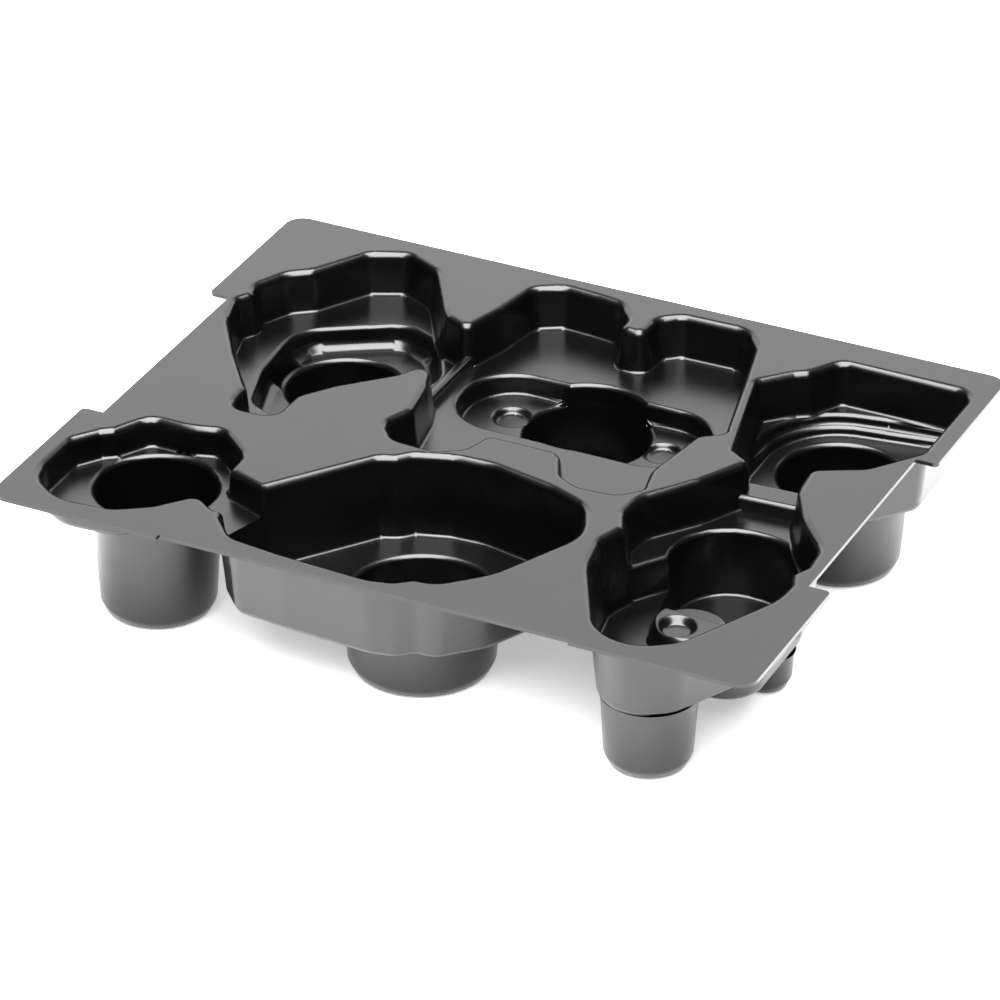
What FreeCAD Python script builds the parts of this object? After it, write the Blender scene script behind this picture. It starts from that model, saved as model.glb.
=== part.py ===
"""Thermoformed plastic tray: one sheet, six moulded pockets, deep round feet.

The sheet is described by two families of mould forms.  The hollow forms are
what the tray leaves open above the sheet; the skin forms are the same shapes
grown by the wall.  Tray = flange plate + skin forms - hollow forms.
"""
import FreeCAD, Part
import math
import os

Vector = FreeCAD.Vector

# ---------------------------------------------------------------- sizes
# alias, value, what it is
SIZES = [
    ("wall", 3.0, "thickness of the formed sheet"),
    ("rest_height", 120.0, "flange top above the floor the feet stand on"),
    ("flange_length", 551.0, "flange between the side tabs, along X"),
    ("flange_width", 467.0, "flange from front to back, along Y"),
    ("tab_reach", 16.5, "how far the corner tabs stand out at the sides"),
    ("tab_length", 138.0, "length of each corner tab along the side"),
    ("front_tab_reach", 3.0, "how far the corner tabs stand out in front"),
    ("front_tab_length", 118.0, "length of each front tab inside the side line"),
    ("corner_radius", 14.0, "outer corners of the tabs"),
    ("tab_radius", 4.0, "inner and end corners of the tabs"),
    ("draft_angle", 6.0, "draft of the pocket walls, degrees"),
    ("foot_draft", 3.5, "draft of the round feet, degrees"),
    ("lip_radius", 6.0, "rounding where the flange turns down"),
    ("rim_radius", 4.0, "rounding where a ledge turns down"),
    ("root_radius", 3.0, "inner rounding where a wall meets a floor"),
    ("toe_radius", 8.0, "inner rounding at the bottom of the feet"),
    ("west_depth", 33.5, "ledge of the two back left pockets"),
    ("east_depth", 34.0, "ledge of the two right pockets"),
    ("corner_depth", 22.0, "ledge of the front left pocket and its channel"),
    ("bay_depth", 63.0, "floor of the large front bay"),
    ("kite_depth", 52.0, "bottom of the bowl in the back left pocket"),
    ("bowl_radius", 10.0, "inner rounding of that bowl"),
    ("twin_depth", 49.0, "floor of the twin recess"),
    ("terrace_depth", 41.0, "middle step of the back right pocket"),
    ("basin_depth", 48.0, "floor of the back right pocket"),
    ("well_depth", 60.0, "floor of the front right pocket"),
    ("pit_depth", 86.0, "floor of the round pit in the front right pocket"),
    ("twin_length", 195.0, "twin recess along X"),
    ("twin_width", 84.0, "twin recess along Y"),
    ("dimple_radius", 14.0, "round dimples in the ledges"),
    ("dimple_depth", 5.0, "depth of the dimples"),
    ("weir_depth", 25.0, "top of the bar between the back left pockets"),
    ("weir_width", 10.0, "thickness of that bar"),
    ("saddle_depth", 23.0, "top of the bar between the right pockets"),
    ("saddle_width", 24.0, "thickness of that bar"),
    ("crest_radius", 4.5, "rounding along the top of both bars"),
    ("kite_foot_radius", 45.0, "foot under the back left pocket, at its rim"),
    ("twin_foot_radius", 48.0, "foot under the twin recess, at its rim"),
    ("basin_foot_radius", 46.0, "foot under the back right pocket"),
    ("corner_foot_radius", 44.5, "foot under the front left pocket"),
    ("bay_foot_radius", 53.0, "foot under the front bay"),
    ("post_radius", 28.0, "round post standing in the pit"),
    ("post_depth", 49.0, "top of that post"),
    ("front_foot_radius", 31.5, "foot at the front right corner"),
    ("side_foot_radius", 18.0, "small foot beside the round pit"),
]

doc = FreeCAD.newDocument("tray")
table = doc.addObject("Spreadsheet::Sheet", "sizes")
for row, (alias, value, note) in enumerate(SIZES, start=1):
    table.set("A%d" % row, note)
    table.set("B%d" % row, str(value))
    table.setAlias("B%d" % row, alias)
doc.recompute()
size = {alias: float(getattr(table, alias)) for alias, _, _ in SIZES}

WALL = size["wall"]
DRAFT = math.radians(size["draft_angle"])
FOOT_DRAFT = math.radians(size["foot_draft"])
FOOT_FLOOR = size["rest_height"] - WALL
TOUCH = 1e-5  # closer than this counts as touching
SHARP = 0.5  # radius left on a corner that an inset would use up

# ---------------------------------------------------------------- outlines
# Corners (x, y, radius) of each pocket where its walls meet the flange top,
# clockwise seen from above, with the origin at the middle of the flange.
WEST = [(-267, 120, 14), (-254, 148, 20), (-238, 160, 14), (-213, 203, 12), (-186, 216, 14),
        (-155, 200, 16), (-125, 150, 9), (-117, 140, 9), (-96, 130, 8), (-86, 165, 60),
        (-78, 208, 14), (-58, 220, 14), (-30, 218, 40), (-9, 215, 14), (4, 197, 12),
        (5, 180, 7.5), (25, 180, 7.5), (25, 205, 12), (40, 217, 14), (92, 218, 18),
        (107, 198, 25), (119, 149, 200), (138, 72, 9), (121, 60, 12), (112, 0, 30),
        (118, -26, 10), (104, -41, 14), (76, -43, 16), (58, -34, 14), (46, -10, 9),
        (40, -5, 8), (-13, -5, 8), (-20, -30, 14), (-38, -42, 12), (-72, -40, 16),
        (-87, -22, 12), (-77, 2, 14), (-84, 40, 60), (-97, 74, 8), (-112, 46, 30),
        (-145, 12, 30), (-163, -14, 12), (-163, -48, 12), (-199, -50, 12), (-200, -20, 12),
        (-232, 22, 80), (-262, 68, 30), (-269, 96, 10), (-261, 108, 7.5)]
EAST = [(128, 151, 9), (149, 173, 8), (158, 179, 7.5), (173, 204, 12), (276, 204, 14),
        (276, 108, 16), (248, 70, 20), (213, 51, 9), (216, 20, 40), (236, -16, 60),
        (262, -48, 26), (264, -74, 9), (258, -86, 7.5), (263, -98, 9), (262, -122, 60),
        (224, -202, 34), (192, -225, 34), (162, -205, 36), (127, -137, 50), (121, -104, 20),
        (129, -82, 7.5), (120, -62, 12), (122, -38, 24), (150, 0, 40), (171, 42, 8),
        (152, 54, 9)]
CORNER = [(-277, -142, 9), (-264, -123, 7.5), (-256, -117, 7.5), (-241, -90, 14),
          (-208, -90, 60), (-186, -83, 12), (-157, -108, 14), (-156, -131, 8),
          (-104, -152, 8), (-104, -184, 8), (-140, -184, 10), (-160, -171, 10),
          (-181, -198, 26), (-205, -214, 20), (-246, -217, 34), (-277, -196, 34)]
BAY = [(-122, -141, 12), (-69, -69, 12), (-57, -64, 7.5), (-48, -54, 12), (-20, -45, 40),
       (8, -43, 50), (60, -54, 50), (92, -67, 26), (106, -104, 36), (72, -177, 60),
       (42, -207, 24), (28, -207, 7.5), (16, -217, 12), (-2, -221, 30), (-70, -217, 80),
       (-112, -212, 20), (-136, -186, 16)]
# Lower outlines, where their walls leave the ledge above.
KITE = [(-234, 112, 40), (-230, 60, 60), (-216, 16, 22), (-190, 4, 22), (-160, 12, 30),
        (-122, 60, 40), (-106, 108, 30), (-132, 156, 24), (-164, 170, 24), (-190, 155, 30),
        (-226, 132, 30)]
TERRACE = [(140, 60, 5), (140, 183, 66), (215, 196, 40), (300, 206, 5), (300, 60, 5)]
BASIN = [(146, 66, 5), (146, 179, 60), (215, 189, 40), (300, 202, 5), (300, 66, 5)]
WELL = [(98, -130, 5), (151, -50, 5), (300, -50, 5), (300, -260, 5), (98, -260, 5)]
PIT = [(139, 4, 44), (247, 4, 50), (247, -133, 30), (165, -133, 16)]

# Places in plan (x, y) of what stands in or hangs below the pockets.
KITE_FOOT = (-176, 92)
TWIN_FOOT = (15.5, 102.5)
TWIN_RECESS = (15.5, 97.5)
BASIN_FOOT = (206, 128)
CORNER_FOOT = (-209, -142)
BAY_FOOT = (-4, -131)
FRONT_FOOT = (192, -176)
SIDE_FOOT = (225, -51)
POST = (192, -110)
WEIR = (-96, 102)
SADDLE = (192, 42)
DIMPLE_LINE = 103  # y of both dimples in the twin recess
DIMPLE_REACH = 60.5  # from the middle of the recess to each dimple
LOBE_SLACK = 2.0  # how much less than half its width the recess ends are rounded
FOOT_STEP = 1.0  # how much the foot narrows where it leaves the twin recess
BAR_LENGTH = 90  # long enough to run into both walls of a pocket
BAR_SINK = 1.0  # how far a bar runs below the ledge it stands on
WEIR_HEADING, SADDLE_HEADING = 90, 3


def outline(corners, level, inset=0.0):
    """Closed wire of lines and tangent arcs, moved inwards by inset."""
    count = len(corners)
    area = sum(corners[i - 1][0] * corners[i][1] - corners[i][0] * corners[i - 1][1]
               for i in range(count))
    side = 1.0 if area > 0 else -1.0
    lines = []
    for i in range(count):
        start = Vector(corners[i][0], corners[i][1], 0)
        end = Vector(corners[(i + 1) % count][0], corners[(i + 1) % count][1], 0)
        along = (end - start).normalize()
        inward = Vector(-along.y, along.x, 0) * side
        lines.append((start + inward * inset, along))
    arcs = []
    for i in range(count):
        (p0, d0), (p1, d1) = lines[i - 1], lines[i]
        cross = d0.x * d1.y - d0.y * d1.x
        reach = ((p1.x - p0.x) * d1.y - (p1.y - p0.y) * d1.x) / cross
        corner = p0 + d0 * reach
        turn = math.atan2(cross, d0.dot(d1))
        used = inset if turn * side > 0 else -inset
        radius = max(corners[i][2] - used, SHARP)
        tangent = radius * abs(math.tan(turn / 2))
        bulge = radius * (1 / math.cos(turn / 2) - 1)
        middle = corner + (d1 - d0).normalize() * bulge
        arcs.append((corner - d0 * tangent, middle, corner + d1 * tangent))
    lift = Vector(0, 0, level)
    edges = []
    for i, (a, m, b) in enumerate(arcs):
        edges.append(Part.Arc(a + lift, m + lift, b + lift).toShape())
        edges.append(Part.makeLine(b + lift, arcs[(i + 1) % count][0] + lift))
    return Part.Wire(edges)


def rounding(level, inset, radius, lean, steps):
    """Section points from a flat into a wall leaning by lean, as (level, inset).

    A positive radius rounds the edge where the flat turns down into the wall,
    a negative one the hollow where a wall coming down meets the flat.
    """
    sweep = math.pi / 2 - lean
    run = radius * math.tan(sweep / 2)
    angles = [sweep * step / steps for step in range(steps + 1)]
    return [(level - radius * (1 - math.cos(angle)), inset - run + radius * math.sin(angle))
            for angle in angles]


def section(top, bottom, lean, grow, lip, root, steps):
    """Half section of a drafted form, from its rim down to its floor."""
    floor_inset = math.tan(lean) * (top - bottom) - grow
    lip_steps, root_steps = steps
    down = rounding(top, -grow, lip, lean, lip_steps)
    up = rounding(bottom, floor_inset, -root, lean, root_steps)
    return down + up[::-1]


def loft(corners, points):
    """Solid through one outline per section point."""
    wires = [outline(corners, level, inset) for level, inset in points]
    return Part.makeLoft(wires, True, True)


def turned(x, y, radius, points):
    """Solid of revolution about an upright axis from section points."""
    rim = [Vector(x + radius - inset, y, level) for level, inset in points]
    top, bottom = Vector(x, y, rim[0].z), Vector(x, y, rim[-1].z)
    profile = Part.makePolygon([top] + rim + [bottom, top])
    return Part.Face(profile).revolve(top, Vector(0, 0, 1), 360)


def edges_at(shape, level):
    """Edges lying wholly at one level."""
    return [edge for edge in shape.Edges
            if abs(edge.BoundBox.ZMin - level) < TOUCH and abs(edge.BoundBox.ZMax - level) < TOUCH]


# ---------------------------------------------------------------- flange
def box(name, length, width, height, x, y, z):
    """Block bound to the sheet; each argument is a formula of sheet names."""
    item = doc.addObject("Part::Box", name)
    item.setExpression("Length", length)
    item.setExpression("Width", width)
    item.setExpression("Height", height)
    item.setExpression("Placement.Base.x", x)
    item.setExpression("Placement.Base.y", y)
    item.setExpression("Placement.Base.z", z)
    return item


def rounded(name, base, radii):
    """Round upright edges of a block; radii maps edge number to radius."""
    item = doc.addObject("Part::Fillet", name)
    item.Base = base
    item.Edges = [(edge, radius, radius) for edge, radius in radii.items()]
    return item


# Upright edges of a block, by the corner they stand on.
LEFT_FRONT, LEFT_BACK, RIGHT_FRONT, RIGHT_BACK = 1, 3, 5, 7


def flange():
    """Flat plate with a tab at each corner."""
    parts = [box("plate", "sizes.flange_length", "sizes.flange_width", "sizes.wall",
                 "-sizes.flange_length / 2", "-sizes.flange_width / 2", "-sizes.wall")]
    tab_x = "sizes.front_tab_length + sizes.tab_reach"
    left = "-sizes.flange_length / 2 - sizes.tab_reach"
    right = "sizes.flange_length / 2 - sizes.front_tab_length"
    front = "-sizes.flange_width / 2 - sizes.front_tab_reach"
    back = "sizes.flange_width / 2 - sizes.tab_length"
    corner, end = size["corner_radius"], size["tab_radius"]
    corners = [
        ("tab_left_front", left, front, {LEFT_FRONT: corner, LEFT_BACK: end}),
        ("tab_right_front", right, front, {RIGHT_FRONT: corner, RIGHT_BACK: end}),
        ("tab_left_back", left, back, {LEFT_BACK: corner, LEFT_FRONT: end}),
        ("tab_right_back", right, back, {RIGHT_BACK: corner, RIGHT_FRONT: end}),
    ]
    for name, x, y, radii in corners:
        block = box(name + "_block", tab_x, "sizes.tab_length", "sizes.wall", x, y, "-sizes.wall")
        parts.append(rounded(name, block, radii))
    return parts


# ---------------------------------------------------------------- forms
def feature(name, shape):
    """Keep a finished form as an object of the document."""
    item = doc.addObject("Part::Feature", name)
    item.Shape = shape
    item.Placement = FreeCAD.Placement()
    return item


class Side:
    """One face of the sheet: the hollow above it or the skin below it."""

    def __init__(self, name, wall, steps):
        self.name = name
        self.wall = wall
        self.steps = steps

    def section(self, top, bottom, lean, lip, root):
        """Section of a form whose outline is given at depth top."""
        return section(-top - self.wall, -bottom - self.wall, lean,
                       self.wall - math.tan(lean) * self.wall, lip - self.wall,
                       root + self.wall, self.steps)

    def form(self, corners, top, bottom, lean, lip, root):
        """Pocket form between two depths."""
        return loft(corners, self.section(top, bottom, lean, lip, root))

    def foot(self, x, y, radius, top, bottom, lean, lip, root, headroom=0.0):
        """Round form between two depths.

        The headroom is a straight stretch above the hollow's lip, which clears
        whatever rounding of the ledge's own walls hangs over it.
        """
        points = self.section(top, bottom, lean, lip, root)
        if headroom and not self.wall:
            points = [(points[0][0] + headroom, points[0][1])] + points
        return turned(x, y, radius, points)

    def limit(self, corners, bottom, root):
        """Everything within a pocket's walls down to a depth."""
        points = self.section(0.0, bottom, DRAFT, LIP, root)
        return loft(corners, [(0.0, -self.wall)] + points[self.steps[0]:])


LIP = size["lip_radius"]
RIM = size["rim_radius"]
ROOT = size["root_radius"]
TOE = size["toe_radius"]
DIMPLE_LEAN = math.radians(20.0)
DIMPLE_ROOT = 2.0


def foot_at(side, place, radius, ledge, headroom=ROOT):
    """A foot from a ledge down to the floor the tray stands on."""
    return side.foot(*place, radius, ledge, FOOT_FLOOR, FOOT_DRAFT, RIM, TOE, headroom)


def dimple(side, x, y, radius, ledge):
    """Shallow round dimple in a ledge."""
    return side.foot(x, y, radius, ledge, ledge + size["dimple_depth"], DIMPLE_LEAN,
                     RIM, DIMPLE_ROOT)


def bar(side, place, width, crest, base, heading):
    """Rounded bar left standing across a pocket, hollow below where wide enough."""
    shrink = 2 * side.wall
    top = -crest - side.wall
    height = base - crest
    sink = BAR_SINK + side.wall
    corner = Vector(-BAR_LENGTH / 2, side.wall - width / 2, top - height - sink)
    block = Part.makeBox(BAR_LENGTH, width - shrink, height + sink, corner)
    crests = [e for e in edges_at(block, top) if e.BoundBox.XLength > BAR_LENGTH / 2]
    block = block.makeFillet(size["crest_radius"] - side.wall, crests)
    block.rotate(Vector(0, 0, 0), Vector(0, 0, 1), heading)
    block.translate(Vector(*place, 0))
    return block


def west(side):
    """Two back left pockets in one wall, with the bar between them."""
    depth = size["west_depth"]
    body = side.form(WEST, 0.0, depth, DRAFT, LIP, ROOT)
    if side.wall == 0:
        weir = bar(side, WEIR, size["weir_width"], size["weir_depth"], depth, WEIR_HEADING)
        body = body.cut(weir)
    return body


def kite(side):
    """Bowl and foot of the back left pocket."""
    bowl = side.form(KITE, size["west_depth"], size["kite_depth"], DRAFT, RIM,
                     size["bowl_radius"])
    return [bowl, foot_at(side, KITE_FOOT, size["kite_foot_radius"], size["kite_depth"],
                          size["bowl_radius"])]


def twin(side):
    """Two-lobed recess with a dimple in each lobe and the foot between them."""
    depth, half_x, half_y = size["twin_depth"], size["twin_length"] / 2, size["twin_width"] / 2
    (x, y), radius = TWIN_RECESS, half_y - LOBE_SLACK
    lobes = [(x - half_x, y - half_y, radius), (x + half_x, y - half_y, radius),
             (x + half_x, y + half_y, radius), (x - half_x, y + half_y, radius)]
    recess = side.form(lobes, size["west_depth"], depth, DRAFT, RIM, ROOT)
    upper = foot_at(side, TWIN_FOOT, size["twin_foot_radius"], size["west_depth"])
    lower = foot_at(side, TWIN_FOOT, size["twin_foot_radius"] - FOOT_STEP, depth)
    dimples = [dimple(side, x + reach, DIMPLE_LINE, size["dimple_radius"], depth)
               for reach in (-DIMPLE_REACH, DIMPLE_REACH)]
    return [recess, upper, lower] + dimples


def east(side):
    """Two right pockets in one wall, with the bar between them."""
    depth = size["east_depth"]
    body = side.form(EAST, 0.0, depth, DRAFT, LIP, ROOT)
    saddle = bar(side, SADDLE, size["saddle_width"], size["saddle_depth"], depth, SADDLE_HEADING)
    return body.cut(saddle)


def basin(side):
    """Stepped floor and foot of the back right pocket."""
    within = side.limit(EAST, size["basin_depth"], ROOT)
    step = size["terrace_depth"]
    upper = side.form(TERRACE, size["east_depth"], step, DRAFT, RIM, ROOT)
    lower = side.form(BASIN, step, size["basin_depth"], DRAFT, RIM, ROOT)
    clear = loft(BASIN, [(-size["saddle_depth"], 0.0), (-step, 0.0)])
    floor = within.common(upper.fuse([lower, clear]))
    return [floor, foot_at(side, BASIN_FOOT, size["basin_foot_radius"], size["basin_depth"])]


def well(side):
    """Low floor, round pit, post and two feet of the front right pocket."""
    within = side.limit(EAST, size["well_depth"], ROOT)
    low = side.form(WELL, size["east_depth"], size["well_depth"], DRAFT, RIM, ROOT)
    clear = loft(WELL, [(-size["saddle_depth"], 0.0), (-size["east_depth"] - RIM, 0.0)])
    floor = within.common(low.fuse(clear))
    pit = side.form(PIT, size["east_depth"], size["pit_depth"], FOOT_DRAFT, RIM, ROOT)
    front = foot_at(side, FRONT_FOOT, size["front_foot_radius"], size["well_depth"])
    small = foot_at(side, SIDE_FOOT, size["side_foot_radius"], size["pit_depth"])
    return [floor, pit, front, small]


def post(side):
    """Post in the pit, hollow from below."""
    top = -size["post_depth"] - side.wall
    base = top + size["post_depth"] - size["pit_depth"] - TOE
    spread = math.tan(FOOT_DRAFT) * (top - base)
    radius = size["post_radius"] - side.wall
    rim = rounding(top, 0.0, RIM - side.wall, FOOT_DRAFT, side.steps[0])
    return turned(*POST, radius, [(level, -inset) for level, inset in rim] + [(base, -spread)])


def ledges(side):
    """Front left pocket with its channel, and the large front bay."""
    corner, bay = size["corner_depth"], size["bay_depth"]
    return [side.form(CORNER, 0.0, corner, DRAFT, LIP, ROOT),
            foot_at(side, CORNER_FOOT, size["corner_foot_radius"], corner),
            side.form(BAY, 0.0, bay, DRAFT, LIP, ROOT),
            foot_at(side, BAY_FOOT, size["bay_foot_radius"], bay)]


def sheet_side(side):
    """All forms of one face of the sheet, the post taken out of them."""
    forms = [west(side), east(side)] + kite(side) + twin(side) + basin(side) + ledges(side)
    pit_forms = well(side)
    pit_forms[1] = pit_forms[1].cut(post(side))
    forms += pit_forms
    return [feature("%s_%02d" % (side.name, index), shape) for index, shape in enumerate(forms)]


def gather(name, parts):
    """Fuse the shapes of document objects into one new object."""
    doc.recompute()
    first, others = parts[0].Shape, [part.Shape for part in parts[1:]]
    return feature(name, first.fuse(others))


# ---------------------------------------------------------------- tray
skins = gather("skins", flange() + sheet_side(Side("skin", WALL, (1, 2))))
hollows = gather("hollows", sheet_side(Side("hollow", 0.0, (3, 1))))
tray = doc.addObject("Part::Cut", "tray")
tray.Base = skins
tray.Tool = hollows
tray.Refine = False
tray.setExpression("Placement.Base.y", "sizes.front_tab_reach / 2")
tray.setExpression("Placement.Base.z", "sizes.rest_height")
doc.recompute()

for item in doc.Objects:
    if "Invalid" in item.State or "Error" in item.State:
        raise RuntimeError(item.Label + " did not compute")
    if hasattr(item, "Shape") and (item.Shape.isNull() or not item.Shape.isValid()):
        raise RuntimeError(item.Label + " has a bad shape")
if len(tray.Shape.Solids) != 1:
    raise RuntimeError("tray has %d solids" % len(tray.Shape.Solids))

os.makedirs("parts", exist_ok=True)
tray.Shape.exportStep("parts/" + tray.Label + ".step")
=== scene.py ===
"""Studio picture of a thermoformed packing tray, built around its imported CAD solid."""

import logging
import math
from dataclasses import dataclass, field
from enum import Enum
from typing import Sequence

import bpy
from mathutils import Matrix, Vector


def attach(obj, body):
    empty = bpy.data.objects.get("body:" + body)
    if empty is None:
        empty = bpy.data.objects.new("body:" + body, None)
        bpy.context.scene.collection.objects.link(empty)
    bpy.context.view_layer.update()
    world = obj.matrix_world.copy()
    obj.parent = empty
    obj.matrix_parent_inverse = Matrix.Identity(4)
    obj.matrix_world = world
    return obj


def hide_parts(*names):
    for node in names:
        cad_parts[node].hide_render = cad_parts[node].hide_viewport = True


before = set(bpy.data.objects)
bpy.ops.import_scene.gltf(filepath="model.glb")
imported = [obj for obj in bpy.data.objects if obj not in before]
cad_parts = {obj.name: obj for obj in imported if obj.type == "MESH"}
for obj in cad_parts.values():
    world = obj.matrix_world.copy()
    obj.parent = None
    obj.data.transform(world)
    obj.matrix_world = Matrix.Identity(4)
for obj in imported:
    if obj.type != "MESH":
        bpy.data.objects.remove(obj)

LOG = logging.getLogger("tray_scene")

CAD_NODE = "tray"
NOISE_DETAIL = 2.0
QUARTER_TURN = math.pi / 2

# Edges sharper than this, in degrees, keep a hard shading edge.
CREASE_ANGLE = 50.0

# Tilt in degrees at which a camera looks along the horizon.
LEVEL_TILT = 90.0

# Angle from the top of a ball, in quarter turns, at its widest and at its lowest point.
RIM_FALL = 1.0
LAST_FALL = 2.0

Colour = tuple[float, float, float, float]


# ------------------------------------------------------------------ helpers
def deselect_all() -> None:
    """Leave nothing selected, so that an operator touches only what it is given."""
    bpy.ops.object.select_all(action="DESELECT")


def make_active(item: bpy.types.Object) -> None:
    """Select one object alone and make it active.

    Args:
        item: The object that the next operators work on.
    """
    deselect_all()
    item.select_set(True)
    bpy.context.view_layer.objects.active = item


def smooth_step(share: float) -> float:
    """Ease a share from nought to one.

    Args:
        share: The share, which may lie outside nought to one.

    Returns:
        The eased share.
    """
    held = min(max(share, 0.0), 1.0)
    return held * held * (3.0 - 2.0 * held)


# ------------------------------------------------------------------ finishes
@dataclass(frozen=True)
class PlasticFinish:
    """Looks of a moulded plastic sheet.

    Attributes:
        colour: Base colour of the sheet.
        shade_swing: Relative brightness swing of the slow colour variation.
        roughness: Mean roughness of the surface.
        roughness_swing: How far the roughness wanders from its mean.
        ior: Refractive index, which sets how strongly the surface mirrors.
        grain_scale: Cells per metre of the fine mould grain.
        grain_height: Height of that grain in metres.
        sag_scale: Cells per metre of the slow waviness of a drawn sheet.
        sag_height: Height of that waviness in metres.
    """

    colour: Colour
    shade_swing: float
    roughness: float
    roughness_swing: float
    ior: float
    grain_scale: float
    grain_height: float
    sag_scale: float
    sag_height: float


@dataclass(frozen=True)
class FloorFinish:
    """Looks of the studio floor.

    Attributes:
        colour: Colour of the floor.
        roughness: Roughness of the floor.
        glow: Strength of the even light that a backlit floor gives off.
    """

    colour: Colour
    roughness: float
    glow: float


class LightRole(Enum):
    """What each studio light is there for."""

    BACK = "back_panel"
    TOP = "top_panel"


SHEET_BLACK = PlasticFinish(
    colour=(0.0004, 0.0004, 0.00042, 1.0),
    shade_swing=0.9,
    roughness=0.26,
    roughness_swing=0.05,
    ior=1.5,
    grain_scale=900.0,
    grain_height=0.00001,
    sag_scale=14.0,
    sag_height=0.0002,
)
STUDIO_WHITE = FloorFinish(colour=(0.9, 0.9, 0.9, 1.0), roughness=0.9, glow=0.5)


class MaterialShop:
    """Builds the procedural materials of the scene."""

    def plastic(self, name: str, finish: PlasticFinish) -> bpy.types.Material:
        """Make a moulded plastic from noise in Object coordinates.

        Args:
            name: Name of the material.
            finish: The looks to give it.

        Returns:
            The finished material.
        """
        material, shader = self._blank(name)
        tree = material.node_tree
        shader.inputs["IOR"].default_value = finish.ior
        place = tree.nodes.new("ShaderNodeTexCoord").outputs["Object"]
        slow = self._noise(tree, place, finish.sag_scale)
        fine = self._noise(tree, place, finish.grain_scale)

        shade = self._swing(tree, slow, 1.0, finish.shade_swing)
        tint = tree.nodes.new("ShaderNodeVectorMath")
        tint.operation = "SCALE"
        tint.inputs["Vector"].default_value = finish.colour[:3]
        tree.links.new(shade, tint.inputs["Scale"])
        tree.links.new(tint.outputs["Vector"], shader.inputs["Base Color"])

        gloss = self._swing(tree, slow, finish.roughness, finish.roughness_swing)
        tree.links.new(gloss, shader.inputs["Roughness"])

        waves = self._bump(tree, slow, finish.sag_height, None)
        grain = self._bump(tree, fine, finish.grain_height, waves)
        tree.links.new(grain, shader.inputs["Normal"])
        return material

    def floor(self, name: str, finish: FloorFinish) -> bpy.types.Material:
        """Make the plain floor material.

        Args:
            name: Name of the material.
            finish: The looks to give it.

        Returns:
            The finished material.
        """
        material, shader = self._blank(name)
        shader.inputs["Base Color"].default_value = finish.colour
        shader.inputs["Roughness"].default_value = finish.roughness
        shader.inputs["Specular IOR Level"].default_value = 0.0
        shader.inputs["Emission Color"].default_value = finish.colour
        shader.inputs["Emission Strength"].default_value = finish.glow
        return material

    @staticmethod
    def _blank(name: str) -> tuple[bpy.types.Material, bpy.types.Node]:
        """Start a material.

        Args:
            name: Name of the material.

        Returns:
            The material and its shader.
        """
        material = bpy.data.materials.new(name)
        material.use_nodes = True
        return material, material.node_tree.nodes["Principled BSDF"]

    @staticmethod
    def _noise(tree: bpy.types.NodeTree, place: bpy.types.NodeSocket,
               scale: float) -> bpy.types.NodeSocket:
        """Add a noise texture.

        Args:
            tree: Node tree to add it to.
            place: Coordinates that the noise is read at.
            scale: Cells per metre.

        Returns:
            The noise, from nought to one.
        """
        node = tree.nodes.new("ShaderNodeTexNoise")
        node.inputs["Scale"].default_value = scale
        node.inputs["Detail"].default_value = NOISE_DETAIL
        tree.links.new(place, node.inputs["Vector"])
        return node.outputs["Fac"]

    @staticmethod
    def _swing(tree: bpy.types.NodeTree, value: bpy.types.NodeSocket, middle: float,
               swing: float) -> bpy.types.NodeSocket:
        """Spread a value from nought to one over a range.

        Args:
            tree: Node tree to add the node to.
            value: The value to spread.
            middle: Middle of the range.
            swing: How far the range reaches to either side of its middle.

        Returns:
            The spread value.
        """
        node = tree.nodes.new("ShaderNodeMapRange")
        node.inputs["To Min"].default_value = middle - swing
        node.inputs["To Max"].default_value = middle + swing
        tree.links.new(value, node.inputs["Value"])
        return node.outputs["Result"]

    @staticmethod
    def _bump(tree: bpy.types.NodeTree, height: bpy.types.NodeSocket, depth: float,
              under: bpy.types.NodeSocket | None) -> bpy.types.NodeSocket:
        """Add a bump over an optional earlier one.

        Args:
            tree: Node tree to add it to.
            height: Height of the bump, from nought to one.
            depth: What a height of one stands for, in metres.
            under: Normal of the bump below, if there is one.

        Returns:
            The bumped normal.
        """
        node = tree.nodes.new("ShaderNodeBump")
        node.inputs["Strength"].default_value = 1.0
        node.inputs["Distance"].default_value = depth
        tree.links.new(height, node.inputs["Height"])
        if under is not None:
            tree.links.new(under, node.inputs["Normal"])
        return node.outputs["Normal"]


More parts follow.
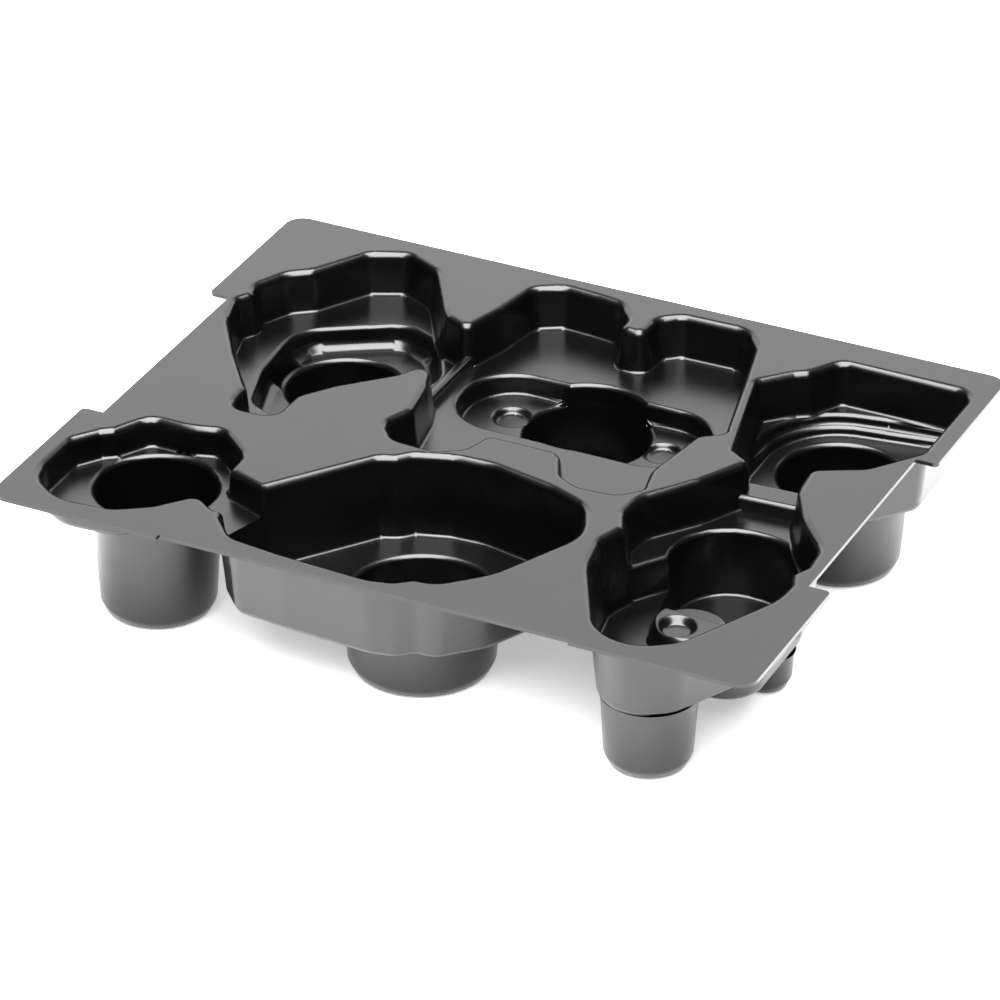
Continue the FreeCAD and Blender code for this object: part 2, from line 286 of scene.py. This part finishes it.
# ------------------------------------------------------------------ the tray
@dataclass(frozen=True)
class SheetSizes:
    """Sizes of the dressed sheet, in metres and degrees.

    Attributes:
        merge_distance: Points of the CAD mesh closer than this become one.
        crease_angle: Edges sharper than this keep a hard shading edge.
        face_weight: Balance of weak and strong faces in the shading, 50 being neutral.
        flat_tilt: Faces tilted less than this are flats.
        wall_tilt: Faces tilted more than this are walls.
        foot_centre: Axis of the middle back foot.
        foot_wall: Radius of that foot's wall beside the recess floor.
        slot_reach: How far the slot beside that wall reaches.
        slot_low: Below this the rounding under the slot stays as it is.
        slot_middle: Above this a point of the rounding moves up to the seat.
        slot_high: Lowest level of the recess floor's own points.
        seat_level: Level inside the sheet above the slot.
        seat_inner: Radius of the inner seat inside that sheet.
        seat_outer: Radius of the outer seat inside that sheet.
        seat_split: Points nearer the foot's axis than this take the inner seat.
        recess_middle: Middle line of the twin recess.
        recess_half: Half the width of the recess floor.
    """

    merge_distance: float = 0.000005
    crease_angle: float = CREASE_ANGLE
    face_weight: int = 50
    flat_tilt: float = 8.0
    wall_tilt: float = 80.0
    foot_centre: tuple[float, float] = (0.0155, 0.104)
    foot_wall: float = 0.04702
    slot_reach: float = 0.0512
    slot_low: float = 0.0689
    slot_middle: float = 0.0700
    slot_high: float = 0.07095
    seat_level: float = 0.0745
    seat_inner: float = 0.0477
    seat_outer: float = 0.0497
    seat_split: float = 0.0494
    recess_middle: float = 0.099
    recess_half: float = 0.040


@dataclass
class TraySheet:
    """The moulded sheet, smoothed for the picture.

    Attributes:
        material: What the sheet is made of.
        sizes: Sizes that the smoothing and the closing of the slot follow.
    """

    material: bpy.types.Material
    sizes: SheetSizes = field(default_factory=SheetSizes)

    def build(self) -> bpy.types.Object:
        """Copy the CAD mesh, merge its doubles and shade it smooth.

        Returns:
            The sheet, which stands in for the CAD node.
        """
        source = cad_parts[CAD_NODE]
        sheet = bpy.data.objects.new("tray_sheet", source.data.copy())
        bpy.context.scene.collection.objects.link(sheet)
        make_active(sheet)
        bpy.ops.object.mode_set(mode="EDIT")
        bpy.ops.mesh.select_all(action="SELECT")
        bpy.ops.mesh.remove_doubles(threshold=self.sizes.merge_distance)
        bpy.ops.mesh.customdata_custom_splitnormals_clear()
        bpy.ops.object.mode_set(mode="OBJECT")
        self._close_slot(sheet)
        self._favour_flats(sheet)
        bpy.ops.object.shade_smooth_by_angle(angle=math.radians(self.sizes.crease_angle))
        sheet.data.materials.clear()
        sheet.data.materials.append(self.material)
        weighted = sheet.modifiers.new("weighted_normals", "WEIGHTED_NORMAL")
        weighted.mode = "FACE_AREA"
        weighted.weight = self.sizes.face_weight
        weighted.keep_sharp = True
        weighted.use_face_influence = True
        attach(sheet, "root")
        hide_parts(CAD_NODE)
        return sheet

    def _favour_flats(self, sheet: bpy.types.Object) -> None:
        """Let the flats and walls set the shading, so the bands between them look round.

        Args:
            sheet: The sheet to mark.
        """
        steep = math.cos(math.radians(self.sizes.wall_tilt))
        shallow = math.cos(math.radians(self.sizes.flat_tilt))
        bpy.ops.object.mode_set(mode="EDIT")
        bpy.ops.mesh.select_mode(type="FACE")
        bpy.ops.mesh.select_all(action="DESELECT")
        bpy.ops.object.mode_set(mode="OBJECT")
        for face in sheet.data.polygons:
            face.select = steep < abs(face.normal.z) < shallow
        bpy.ops.object.mode_set(mode="EDIT")
        bpy.ops.mesh.mod_weighted_strength(set=True, face_strength="WEAK")
        bpy.ops.mesh.select_all(action="INVERT")
        bpy.ops.mesh.mod_weighted_strength(set=True, face_strength="STRONG")
        bpy.ops.object.mode_set(mode="OBJECT")

    def _close_slot(self, sheet: bpy.types.Object) -> None:
        """Draw the sheet together where a thin slot runs beside the middle back foot.

        Args:
            sheet: The sheet to close.
        """
        sizes = self.sizes
        for point in sheet.data.vertices:
            place = Vector((point.co.x, point.co.y)) - Vector(sizes.foot_centre)
            in_ring = sizes.foot_wall < place.length < sizes.slot_reach
            beyond = abs(point.co.y - sizes.recess_middle) > sizes.recess_half
            if not (in_ring and beyond and sizes.slot_low < point.co.z < sizes.slot_high):
                continue
            radius = sizes.foot_wall
            if point.co.z > sizes.slot_middle:
                point.co.z = sizes.seat_level
                inner = place.length < sizes.seat_split
                radius = sizes.seat_inner if inner else sizes.seat_outer
            flush = place.normalized() * radius
            point.co.x = sizes.foot_centre[0] + flush.x
            point.co.y = sizes.foot_centre[1] + flush.y


@dataclass(frozen=True)
class CrownSizes:
    """Sizes of the upper end of the post in the pit, in metres.

    Attributes:
        centre: Axis of the post in plan.
        seat: Level of the solid post that the crown stands on.
        top: Level of the top of the crown.
        radius: Radius of the crown where its rounding ends.
        spread: How much wider the crown is at its seat.
        rim: Radius of the rounding round its top.
        back_line: Line in plan, at the axis, behind which the boss doesn't reach.
        back_slope: Slope of that line in plan.
        height: How far the boss stands up from the crown.
        shoulder: Width of the boss's sloping edge.
        dish_centre: Centre of the round dish in the boss.
        dish_rim: Radius at which the dish begins.
        dish_floor: Radius at which its floor begins.
        segments: Divisions round the crown.
        rings: Divisions from its top to its underside.
        flat_share: Share of the upper rings that lie on the flat top.
        skirt_share: Share of the lower rings that lie on the side.
    """

    centre: tuple[float, float] = (0.192, -0.1085)
    seat: float = 0.0600
    top: float = 0.0710
    radius: float = 0.0280
    spread: float = 0.0006
    rim: float = 0.0040
    back_line: float = -0.0965
    back_slope: float = -0.09
    height: float = 0.0050
    shoulder: float = 0.0050
    dish_centre: tuple[float, float] = (0.187, -0.118)
    dish_rim: float = 0.0150
    dish_floor: float = 0.0085
    segments: int = 128
    rings: int = 120
    flat_share: float = 0.8
    skirt_share: float = 0.2


@dataclass
class PostCrown:
    """Upper end of the post, with a half-round boss and a round dish in it.

    Attributes:
        material: What the crown is made of.
        sizes: Sizes of the crown.
    """

    material: bpy.types.Material
    sizes: CrownSizes = field(default_factory=CrownSizes)

    def build(self) -> bpy.types.Object:
        """Form the crown from a ball whose rings follow its section.

        Returns:
            The crown, closed all round and standing on the solid post.
        """
        sizes = self.sizes
        deselect_all()
        bpy.ops.mesh.primitive_uv_sphere_add(
            segments=sizes.segments, ring_count=sizes.rings, radius=1.0
        )
        crown = bpy.context.active_object
        crown.name = "post_crown"
        for point in crown.data.vertices:
            fall = math.acos(min(max(point.co.z, -1.0), 1.0)) / QUARTER_TURN
            reach, level = self._section(fall)
            turn = math.atan2(point.co.y, point.co.x)
            x = sizes.centre[0] + reach * math.cos(turn)
            y = sizes.centre[1] + reach * math.sin(turn)
            rise = self._rise(x, y) if fall < RIM_FALL else 0.0
            point.co = (x, y, level + rise)
        bpy.ops.object.shade_smooth_by_angle(angle=math.radians(CREASE_ANGLE))
        crown.data.materials.append(self.material)
        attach(crown, "root")
        return crown

    def _section(self, fall: float) -> tuple[float, float]:
        """Give the radius and level of a ring.

        Args:
            fall: 0 at the middle of the top, 1 where the rim meets the side, 2 below.

        Returns:
            The ring's radius and its level.
        """
        sizes = self.sizes
        inner = sizes.radius - sizes.rim
        if fall <= sizes.flat_share:
            return inner * fall / sizes.flat_share, sizes.top
        if fall <= RIM_FALL:
            angle = (fall - sizes.flat_share) / (RIM_FALL - sizes.flat_share) * QUARTER_TURN
            drop = sizes.rim * (1.0 - math.cos(angle))
            return inner + sizes.rim * math.sin(angle), sizes.top - drop
        share = min((fall - RIM_FALL) / sizes.skirt_share, 1.0)
        level = sizes.top - sizes.rim
        level += (sizes.seat - level) * share
        left = min((LAST_FALL - fall) / (1.0 - sizes.skirt_share), 1.0)
        return (sizes.radius + sizes.spread * share) * left, level

    def _rise(self, x: float, y: float) -> float:
        """Give how far the boss stands up at a place in plan.

        Args:
            x: The place, left to right.
            y: The place, front to back.

        Returns:
            The rise, which is nought outside the boss and in the dish.
        """
        sizes = self.sizes
        reach = math.dist((x, y), sizes.centre)
        back = sizes.back_line + sizes.back_slope * (x - sizes.centre[0])
        inside = min(sizes.radius - reach, back - y)
        from_dish = math.dist((x, y), sizes.dish_centre)
        dish = smooth_step((sizes.dish_rim - from_dish) / (sizes.dish_rim - sizes.dish_floor))
        return sizes.height * smooth_step(inside / sizes.shoulder) * (1.0 - dish)


# ------------------------------------------------------------------ studio
@dataclass(frozen=True)
class Panel:
    """One soft light panel aimed at the tray.

    Attributes:
        role: What the panel is for.
        place: Centre of the panel in metres.
        width: Its level side in metres.
        height: Its other side in metres.
        power: Its power in watts.
    """

    role: LightRole
    place: tuple[float, float, float]
    width: float
    height: float
    power: float


PANELS: Sequence[Panel] = (
    Panel(role=LightRole.BACK, place=(-1.5, 3.2, 2.0), width=7.0, height=2.6, power=151.0),
    Panel(role=LightRole.TOP, place=(0.39, -0.82, 2.6), width=2.6, height=3.8, power=560.0),
)


@dataclass
class Studio:
    """Floor, lights and surroundings.

    Attributes:
        floor_material: What the floor is made of.
        floor_side: Length of each side of the square floor in metres.
        floor_gap: How far the floor lies below the feet in metres.
        aim: Point that the panels face.
        surround: Even colour of the surroundings.
    """

    floor_material: bpy.types.Material
    floor_side: float = 60.0
    floor_gap: float = 0.0001
    aim: tuple[float, float, float] = (0.0, 0.0, 0.06)
    surround: Colour = (0.02, 0.02, 0.02, 1.0)

    def build(self) -> None:
        """Lay the floor, colour the surroundings and hang the panels."""
        self._floor()
        self._world()
        for panel in PANELS:
            self._panel(panel)

    def _floor(self) -> None:
        """Lay the plain floor the tray stands on."""
        deselect_all()
        bpy.ops.mesh.primitive_plane_add(size=self.floor_side)
        floor = bpy.context.active_object
        floor.name = "studio_floor"
        for point in floor.data.vertices:
            point.co.z -= self.floor_gap
        floor.data.materials.append(self.floor_material)

    def _world(self) -> None:
        """Give the surroundings one even colour."""
        world = bpy.data.worlds.new("surroundings")
        world.use_nodes = True
        world.node_tree.nodes["Background"].inputs["Color"].default_value = self.surround
        bpy.context.scene.world = world

    def _panel(self, panel: Panel) -> None:
        """Hang one soft panel and aim it at the tray.

        Args:
            panel: The panel to hang.
        """
        data = bpy.data.lights.new(panel.role.value, "AREA")
        data.shape = "RECTANGLE"
        data.size = panel.width
        data.size_y = panel.height
        data.energy = panel.power
        light = bpy.data.objects.new(panel.role.value, data)
        bpy.context.scene.collection.objects.link(light)
        light.location = panel.place
        heading = Vector(self.aim) - Vector(panel.place)
        light.rotation_euler = heading.to_track_quat("-Z", "Y").to_euler()


@dataclass(frozen=True)
class CameraRig:
    """Where the picture is taken from.

    Attributes:
        place: Position of the camera in metres.
        heading: Turn about the vertical, in degrees.
        dip: Angle below the horizon, in degrees.
        roll: Turn about the line of sight, in degrees.
        lens: Focal length in millimetres.
        sensor: Width of the sensor in millimetres.
    """

    place: tuple[float, float, float] = (1.5954, -3.3659, 2.2458)
    heading: float = 25.433
    dip: float = 30.329
    roll: float = 0.314
    lens: float = 216.11
    sensor: float = 36.0

    def build(self) -> bpy.types.Object:
        """Add the camera and make it the scene's own.

        Returns:
            The camera.
        """
        data = bpy.data.cameras.new("camera")
        data.sensor_width = self.sensor
        data.lens = self.lens
        camera = bpy.data.objects.new("camera", data)
        bpy.context.scene.collection.objects.link(camera)
        turn = Matrix.Rotation(math.radians(self.heading), 4, "Z")
        tilt = Matrix.Rotation(math.radians(LEVEL_TILT - self.dip), 4, "X")
        roll = Matrix.Rotation(math.radians(self.roll), 4, "Z")
        camera.matrix_world = Matrix.Translation(self.place) @ turn @ tilt @ roll
        bpy.context.scene.camera = camera
        return camera


def main() -> None:
    """Build the scene and log the points and faces of each piece."""
    logging.basicConfig(level=logging.INFO)
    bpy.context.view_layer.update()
    shop = MaterialShop()
    black = shop.plastic("black_sheet", SHEET_BLACK)
    sheet = TraySheet(black).build()
    crown = PostCrown(black).build()
    Studio(shop.floor("studio_white", STUDIO_WHITE)).build()
    CameraRig().build()
    bpy.context.scene.view_settings.view_transform = "Standard"
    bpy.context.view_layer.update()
    for piece in (sheet, crown):
        mesh = piece.data
        LOG.info("%s: %d points, %d faces", piece.name, len(mesh.vertices), len(mesh.polygons))


if __name__ == "__main__":
    main()
